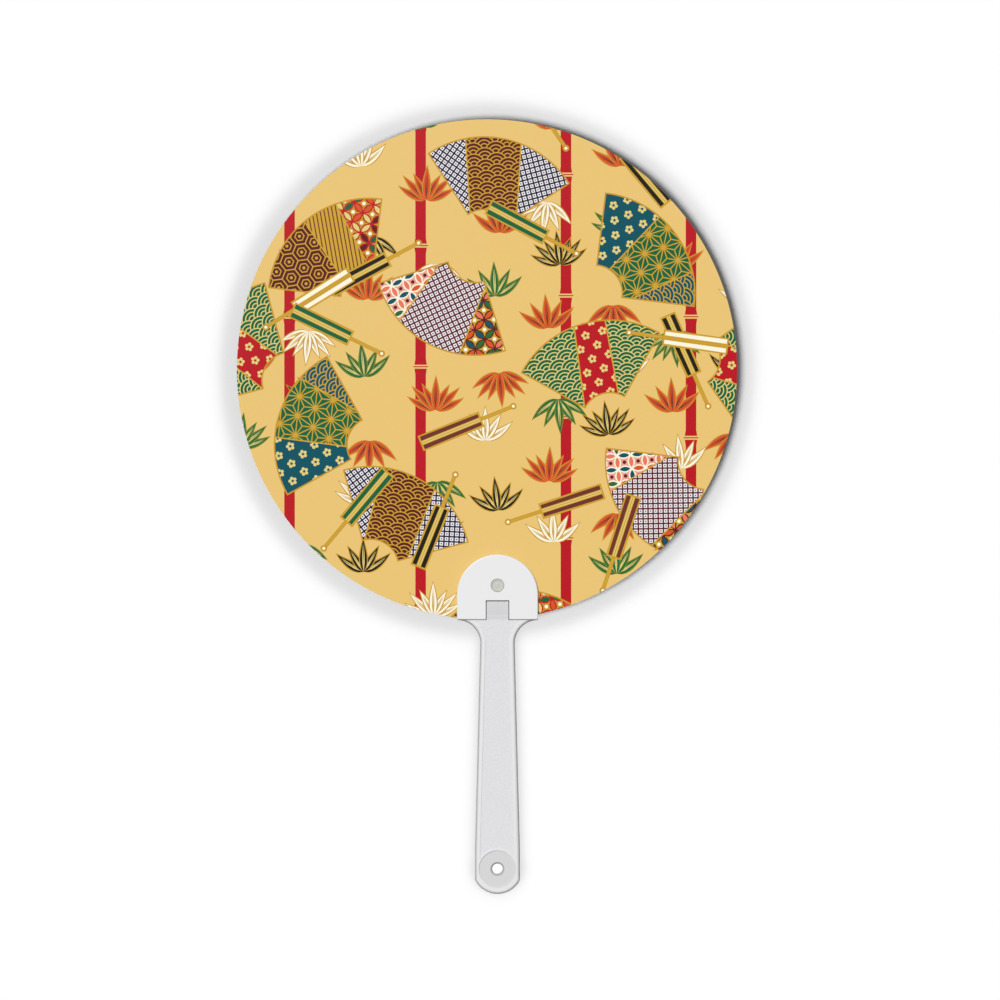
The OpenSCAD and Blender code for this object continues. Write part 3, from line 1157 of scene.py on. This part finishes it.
def smooth_by_angle():
    """Node group that shades edges smooth below SMOOTH_ANGLE and leaves them sharp above it."""
    net = bpy.data.node_groups.new("smooth_by_angle", "GeometryNodeTree")
    for way in ("INPUT", "OUTPUT"):
        net.interface.new_socket("Geometry", in_out=way, socket_type="NodeSocketGeometry")
    mesh = add(net, "NodeGroupInput", {}).outputs["Geometry"]
    angle = add(net, "GeometryNodeInputMeshEdgeAngle", {}).outputs["Unsigned Angle"]
    below = add(net, "FunctionNodeCompare", {}, data_type="FLOAT", operation="LESS_THAN")
    fill(net, below, {"A": angle, "B": SMOOTH_ANGLE})
    faces = add(net, "GeometryNodeSetShadeSmooth", {"Geometry": mesh}, domain="FACE")
    edges = add(net, "GeometryNodeSetShadeSmooth", {}, domain="EDGE")
    both = {"Geometry": faces.outputs["Geometry"], "Shade Smooth": below.outputs["Result"]}
    fill(net, edges, both)
    add(net, "NodeGroupOutput", {"Geometry": edges.outputs["Geometry"]})
    return net


smoothing = smooth_by_angle()
FINISHING = (
    ("joined", "WELD", {"merge_threshold": WELD_DISTANCE * MM}),
    ("flats", "DECIMATE", {"decimate_type": "DISSOLVE", "angle_limit": FLAT_ANGLE}),
    ("corners", "BEVEL", {
        "width": CORNER * MM, "segments": 2, "limit_method": "ANGLE",
        "angle_limit": SMOOTH_ANGLE, "use_clamp_overlap": True,
    }),
    ("smooth_by_angle", "NODES", {"node_group": smoothing}),
    ("flat_faces_stay_flat", "WEIGHTED_NORMAL", {"keep_sharp": True}),
)


def soften(piece):
    """Joins the CAD faces, breaks their sharp corners by a hair and shades their curves smooth."""
    for name, kind, settings in FINISHING:
        modifier = piece.modifiers.new(name, kind)
        for setting, value in settings.items():
            setattr(modifier, setting, value)


by_name = {piece.name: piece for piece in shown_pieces()}
moulded = [by_name[name] for name in ("handle", "clasp_plate", "snap_pin")]
for piece in moulded:
    soften(piece)
print("softened:", ", ".join(piece.name for piece in moulded))

# %% [markdown]
# One moulding has surfaces of several finishes: the frosted panel, the smooth pad and the sides,
# which get painted shade.
# They are told apart by where they lie, since the handle is flat: each finish has its own depth
# from the middle plane. Splitting the mesh would work too, but the CAD pieces keep their meshes.
# %% Masks by depth and height
DEPTH_TOLERANCE = 0.03
FACE_SLACK = 0.02
EDGE_FADE = 0.4
EYE_Z = -45.0
EYE_RING_R = 2.75


def worked(tree, operation, *inputs):
    """The result of a Math node."""
    made = add(tree, "ShaderNodeMath", dict(enumerate(inputs)), operation=operation)
    return made.outputs["Value"]


def along(tree, axis):
    """The place of a point of the surface along an axis, in metres."""
    return add(tree, "ShaderNodeSeparateXYZ", {"Vector": place(tree)}).outputs[axis]


def near_depth(tree, depth_mm):
    """1 where the surface lies at this depth on either side of the middle plane, or else 0."""
    depth = worked(tree, "ABSOLUTE", along(tree, "Y"))
    return worked(tree, "COMPARE", depth, depth_mm * MM, DEPTH_TOLERANCE * MM)


def painted_shade_share(tree, face_mm):
    """0 from this depth outwards, rising evenly to 1 where the surface lies EDGE_FADE deeper.

    It is the mask of the painted side shade.
    """
    depth = worked(tree, "ABSOLUTE", along(tree, "Y"))
    return mapped(tree, depth, (face_mm - FACE_SLACK) * MM, (face_mm - EDGE_FADE) * MM, 0, 1)


def within_eye(tree):
    """1 inside the upright cylinder that holds the hang eye and its chamfers, and 0 elsewhere."""
    flat = {0: place(tree), 1: (1, 0, 1), 2: (0, 0, -EYE_Z * MM)}
    flat = add(tree, "ShaderNodeVectorMath", flat, operation="MULTIPLY_ADD").outputs["Vector"]
    away = add(tree, "ShaderNodeVectorMath", {0: flat}, operation="LENGTH").outputs["Value"]
    return worked(tree, "LESS_THAN", away, EYE_RING_R * MM)


def blend(tree, mask, first, second):
    """A colour or number mixed by a mask. Each of the two is a socket or a plain value.

    A Mix node has several sockets of one name, so they are taken by number.
    """
    is_colour = isinstance(second, tuple) or getattr(second, "type", "") == "RGBA"
    kind, a, result = ("RGBA", 6, 2) if is_colour else ("FLOAT", 2, 0)
    made = add(tree, "ShaderNodeMix", {}, data_type=kind)
    fill(tree, made, {0: mask, a: first, a + 1: second})
    return made.outputs[result]


# %% [markdown]
# The handle is white plastic in soft light. Its panel is frosted, so it gets a coarser noise in
# tone and height and is duller than the rest. The sides, the eye's chamfers and, above the ledge,
# the key's face in the clasp's window get painted shade: greys written into the colour where these
# faces turn away from the studio's front light or lie deep, because the plain world around the fan
# lights a narrow side more evenly than a photographer's dark surroundings do.
# %% The handle
HANDLE_WHITE = seen(228, 228, 229)
# Painted shade, not colours of the plastic: greys for the sides, the hang eye and above the ledge
SIDE_PAINTED_SHADE = seen(200, 200, 202)
EYE_PAINTED_SHADE = seen(178, 178, 180)
LEDGE_PAINTED_SHADE = seen(205, 205, 208)
FROST_DARK, FROST_LIGHT = seen(218, 218, 220), seen(225, 225, 227)
PAD_WHITE = seen(212, 212, 213)
MOULDED_SPECULAR = 0.35
HANDLE_FACE = 1.8
PANEL_DEPTH = 1.55
PAD_DEPTH = 1.4
LEDGE_Z = 49.4
SMOOTH_ROUGHNESS, FROST_ROUGHNESS = 0.4, 0.62
FROST_GRAIN, FROST_DETAIL, FROST_HEIGHT = 0.7, 4.0, 0.12
handle_white, tree, shader = fresh("handle_white", HANDLE_WHITE, SMOOTH_ROUGHNESS, MOULDED_SPECULAR)
panel = near_depth(tree, PANEL_DEPTH)
grain = noise(tree, FROST_GRAIN, FROST_DETAIL)
above_ledge = worked(tree, "GREATER_THAN", along(tree, "Z"), LEDGE_Z * MM)
# Painted shade: grey on the sides, darker in the hang eye and above the ledge, faded in by depth
shade = blend(tree, within_eye(tree), SIDE_PAINTED_SHADE, EYE_PAINTED_SHADE)
shade = blend(tree, above_ledge, shade, LEDGE_PAINTED_SHADE)
tone = blend(tree, painted_shade_share(tree, HANDLE_FACE), HANDLE_WHITE, shade)
frosted = blend(tree, mapped(tree, grain, NOISE_LOW, NOISE_HIGH, 0, 1), FROST_DARK, FROST_LIGHT)
tone = blend(tree, panel, tone, frosted)
tone = blend(tree, near_depth(tree, PAD_DEPTH), tone, PAD_WHITE)
roughness = blend(tree, panel, SMOOTH_ROUGHNESS, FROST_ROUGHNESS)
fill(tree, shader, {"Base Color": tone, "Roughness": roughness})
bumped(tree, shader, worked(tree, "MULTIPLY", grain, panel), FROST_HEIGHT)
print("nodes in the handle's finish:", len(tree.nodes))

# %% [markdown]
# The clasp is glossier and a shade whiter. Its side gets painted shade, a grey written into its
# colour, which also dims the light that the side throws onto the print round the dome. The pin is
# uncoloured plastic, which is a little warmer. Both have the faint waviness of a moulded face.
# %% The clasp and the pin
CLASP_WHITE = seen(233, 233, 233)
# Painted shade for the clasp's sides
CLASP_PAINTED_SHADE = seen(196, 196, 197)
PIN_CREAM = seen(200, 200, 193)
CLASP_SIDE = 1.55
CLASP_ROUGHNESS, PIN_ROUGHNESS = 0.35, 0.3
CLASP_GRAIN, PIN_GRAIN = 2.5, 0.8
WAVE_HEIGHT = 0.006
clasp_white, tree, shader = fresh("clasp_white", CLASP_WHITE, CLASP_ROUGHNESS, MOULDED_SPECULAR)
# Painted shade on the clasp's sides, which also dims the glow they throw onto the print
tone = blend(tree, painted_shade_share(tree, CLASP_SIDE), CLASP_WHITE, CLASP_PAINTED_SHADE)
tree.links.new(tone, shader.inputs["Base Color"])
bumped(tree, shader, noise(tree, CLASP_GRAIN), WAVE_HEIGHT)
pin_cream, tree, shader = fresh("pin_cream", PIN_CREAM, PIN_ROUGHNESS, MOULDED_SPECULAR)
bumped(tree, shader, noise(tree, PIN_GRAIN), WAVE_HEIGHT)
for piece, material in zip(moulded, (handle_white, clasp_white, pin_cream)):
    for slot in piece.material_slots:
        slot.material = material
    print(piece.name, "is finished in", material.name)

# %% [markdown]
# ## The studio
#
# The fan hangs with its back almost on a white wall, square to the camera. The wall and the floor
# are faces that only camera rays find, so that they throw no light back on the fan. Seen from the
# far side they let everything through, and the back of the fan can be looked at from behind the
# wall.
# %% Wall and floor
WALL_Y = 4.5
FLOOR_Z = -100.0
REACH = 20000.0
WALL_FILL = 0.1
FLOOR_FILL = 0.3


def one_sided(name, colour, emission=0.0):
    """A matt material on the front of a face. Its back lets everything through."""
    material, tree, shader = fresh(name, colour, 1.0, 0.0)
    fill(tree, shader, {"Emission Color": WHITE, "Emission Strength": emission})
    facing_away = add(tree, "ShaderNodeNewGeometry", {}).outputs["Backfacing"]
    clear = add(tree, "ShaderNodeBsdfTransparent", {}).outputs["BSDF"]
    choice = {0: facing_away, 1: shader.outputs["BSDF"], 2: clear}
    choice = add(tree, "ShaderNodeMixShader", choice).outputs["Shader"]
    tree.links.new(choice, tree.nodes["Material Output"].inputs["Surface"])
    return material


def backdrop(name, corners, fill_light):
    """A white four-sided face that takes no part in the light. Only camera rays find it."""
    piece = new_piece(name, corners, [[0, 1, 2, 3]])
    piece.data.materials.append(one_sided(name + "_white", WHITE, fill_light))
    for rays in ("diffuse", "glossy", "transmission", "shadow"):
        setattr(piece, "visible_" + rays, False)
    piece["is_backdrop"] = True
    return piece


near_edge = [[-REACH, -REACH, FLOOR_Z], [REACH, -REACH, FLOOR_Z]]
far_edge = [[REACH, REACH, FLOOR_Z], [-REACH, REACH, FLOOR_Z]]
foot = [[-REACH, WALL_Y, FLOOR_Z], [REACH, WALL_Y, FLOOR_Z]]
head = [[REACH, WALL_Y, REACH], [-REACH, WALL_Y, REACH]]
wall = backdrop("wall", foot + head, WALL_FILL)
backdrop("floor", near_edge + far_edge, FLOOR_FILL)
print(f"the wall is {WALL_Y - HANDLE_FACE:.1f} mm behind the handle")

# %% [markdown]
# The soft shadow round the fan is light that the fan keeps from the wall. Black cards just behind
# the fan do that here: a wide one hides the world's light from the wall, and a close one its
# lamp's. With cards the shadow's width and depth can be set without moving the fan.
# %% Cards behind the fan
CARD_Y = 0.9
HANDLE_CARD_Y = 2.0
HALO_MARGIN = 7.0
SHADOW_MARGIN = 0.7
CARD_STEPS = 180


def card(name, outline, depth_mm, hole=None):
    """A black sheet just behind the fan, turned to the wall. From the fan's side it isn't there.

    Its outline gives x and z anticlockwise as the camera sees them. A hole has as many points as
    the outline, and the sheet is then a ring of four-sided faces between the two.
    """
    outline = np.asarray(outline, float)[::-1]
    count = len(outline)
    faces = [list(range(count))]
    if hole is not None:
        outline = np.concatenate([outline, hole[::-1]])
        here, after = np.arange(count), np.roll(np.arange(count), -1)
        faces = np.column_stack([here, after, after + count, here + count]).tolist()
    depth = np.full(len(outline), depth_mm)
    piece = new_piece(name, np.stack([outline[:, 0], depth, outline[:, 1]], axis=1), faces)
    piece.data.materials.append(one_sided(name + "_black", BLACK))
    piece.visible_camera = False
    piece.visible_glossy = False
    piece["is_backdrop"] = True
    return piece


blade_middle = (blade_x, blade_z)
halo_ring = ring(blade_r + HALO_MARGIN, CARD_STEPS)
shadow_ring = ring(blade_r + SHADOW_MARGIN, CARD_STEPS)
card("halo_card", placed(halo_ring, blade_middle), CARD_Y)
shadow_card = card("shadow_card", placed(shadow_ring, blade_middle), CARD_Y)
shadow_card.visible_diffuse = False
print(f"the wide card reaches {HALO_MARGIN:.1f} mm past the blade")

# %% [markdown]
# The handle is narrow and stands off the wall, so it gets cards of its own. The hang eye lets the
# bright wall show, so the card at the foot has a hole as well, wider than the eye.
# %% Cards behind the handle
HANDLE_GROWTH = 1.3
FOOT_R = 10.6
FOOT_HOLE_R = 4.5
FOOT_STEPS = 48
# x and z of the corners of the right side, and how far each moves for a millimetre of growth
GRIP_SIDE = np.array([
    [8.5, -40.0, 1.0, 0.0],
    [6.5, 40.6, 1.0, 0.0],
    [9.1, 46.9, 0.7, -0.7],
    [15.4, 49.5, 1.0, -1.0],
])
DOME_R = 15.4
DOME_Z = 59.0


def grip_and_head(grow):
    """The handle's outline above the hang eye, with every side moved outwards by grow."""
    side = GRIP_SIDE[:, :2] + grow * GRIP_SIDE[:, 2:]
    right = np.concatenate([side, arc(DOME_R + grow, 0, 90, 12) + [0, DOME_Z]])
    return np.concatenate([right, (right * [-1, 1])[-2::-1]])


card("handle_card", grip_and_head(HANDLE_GROWTH), HANDLE_CARD_Y)
foot_ring, foot_hole = (
    placed(ring(radius, FOOT_STEPS), (0, EYE_Z)) for radius in (FOOT_R, FOOT_HOLE_R)
)
card("foot_card", foot_ring, HANDLE_CARD_Y, foot_hole)
print(f"the card at the foot is open to {FOOT_HOLE_R:.1f} mm from the middle of the eye")

# %% [markdown]
# One soft lamp lights the fan's face, one its back, and a third one only the wall. Suns are used
# because they light near and far alike, and light linking says which pieces a lamp reaches, so that
# the wall's tone and the fan's can be set apart.
# %% Lamps
# For each lamp its way, how white it makes a white face square to Y, and its width in degrees
WALL_KEY = ((0.49, 1.0, 0.26), 0.62, 38)
FAN_KEY = ((0.28, 1.0, -0.42), 0.72, 14)
BACK_LIGHT = ((-0.45, -1.0, -0.5), 0.75, 20)


def members(name, pieces):
    """A collection that only says which pieces a lamp lights or is blocked by."""
    collection = bpy.data.collections.new(name)
    for piece in pieces:
        collection.objects.link(piece)
    return collection


def sun(name, way, share, angle, lit, blockers=None):
    """A sun along a direction that lights some pieces. Without blockers all pieces throw shadows.

    A white face square to Y takes the lamp's strength times the cosine of the angle to it over pi,
    so the strength is the share times pi over that cosine.
    """
    lamp = bpy.data.objects.new(name, bpy.data.lights.new(name, "SUN"))
    way = np.array(way) / np.linalg.norm(way)
    lamp.data.energy = share * math.pi / abs(way[1])
    lamp.data.angle = math.radians(angle)
    lamp.rotation_mode = "QUATERNION"
    lamp.rotation_quaternion = Vector(way).to_track_quat("-Z", "Y")
    lamp.light_linking.receiver_collection = members(name + "_lights", lit)
    if blockers:
        lamp.light_linking.blocker_collection = members(name + "_shadows", blockers)
    bpy.context.scene.collection.objects.link(lamp)
    print(f"{name}: strength {lamp.data.energy:.2f}")


fan_pieces = (front_film, back_film, blade_core, *moulded)
sun("wall_key", *WALL_KEY, (wall,), (shadow_card,))
sun("fan_key", *FAN_KEY, fan_pieces)
sun("back", *BACK_LIGHT, fan_pieces)

# %% [markdown]
# The world stands for the soft boxes round the stage. It is brightest straight behind the camera
# and fades to the sides, so that faces that turn away grow darker. Seen by the camera it is plain
# white.
# %% World
WORLD_BASE = 0.1
WORLD_FRONT = 0.29
world = bpy.data.worlds.new("studio")
world.use_nodes = True
tree = world.node_tree
way = add(tree, "ShaderNodeTexCoord", {}).outputs["Generated"]
way_y = add(tree, "ShaderNodeSeparateXYZ", {"Vector": way}).outputs["Y"]
level = mapped(tree, way_y, 0, -1, WORLD_BASE, WORLD_BASE + WORLD_FRONT)
seen_directly = add(tree, "ShaderNodeLightPath", {}).outputs["Is Camera Ray"]
strength = blend(tree, seen_directly, level, 1.0)
fill(tree, tree.nodes["Background"], {"Color": WHITE, "Strength": strength})
bpy.context.scene.world = world
print(f"world from {WORLD_BASE} at the sides to {WORLD_BASE + WORLD_FRONT:.2f} in front")

# %% [markdown]
# The picture is a straight front view with hardly any perspective: a long lens from a good metre
# away, level, and with no shift. The camera's place was found from the picture's proportions.
# %% Camera
LENS, SENSOR = 100, 36
CAMERA_PLACE = (0.00095, -1.0556, 0.09507)
camera = bpy.data.objects.new("camera", bpy.data.cameras.new("camera"))
bpy.context.scene.collection.objects.link(camera)
camera.data.lens = LENS
camera.data.sensor_width = SENSOR
camera.location = CAMERA_PLACE
camera.rotation_euler = (math.pi / 2, 0, 0)
bpy.context.scene.camera = camera
bpy.context.scene.view_settings.view_transform = "Standard"
print(f"{-CAMERA_PLACE[1] / MM * SENSOR / LENS:.0f} mm fit in the picture's width")

# %% [markdown]
# ## Sizes kept
#
# The dressed fan has to stay inside the CAD model's box, so the largest difference between the two
# boxes is printed.
# %% Sizes kept
seen_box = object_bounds()
growth = np.abs(np.array(seen_box) - np.array(cad_box)).max() / MM
print(f"largest difference between the two boxes: {growth:.2f} mm")
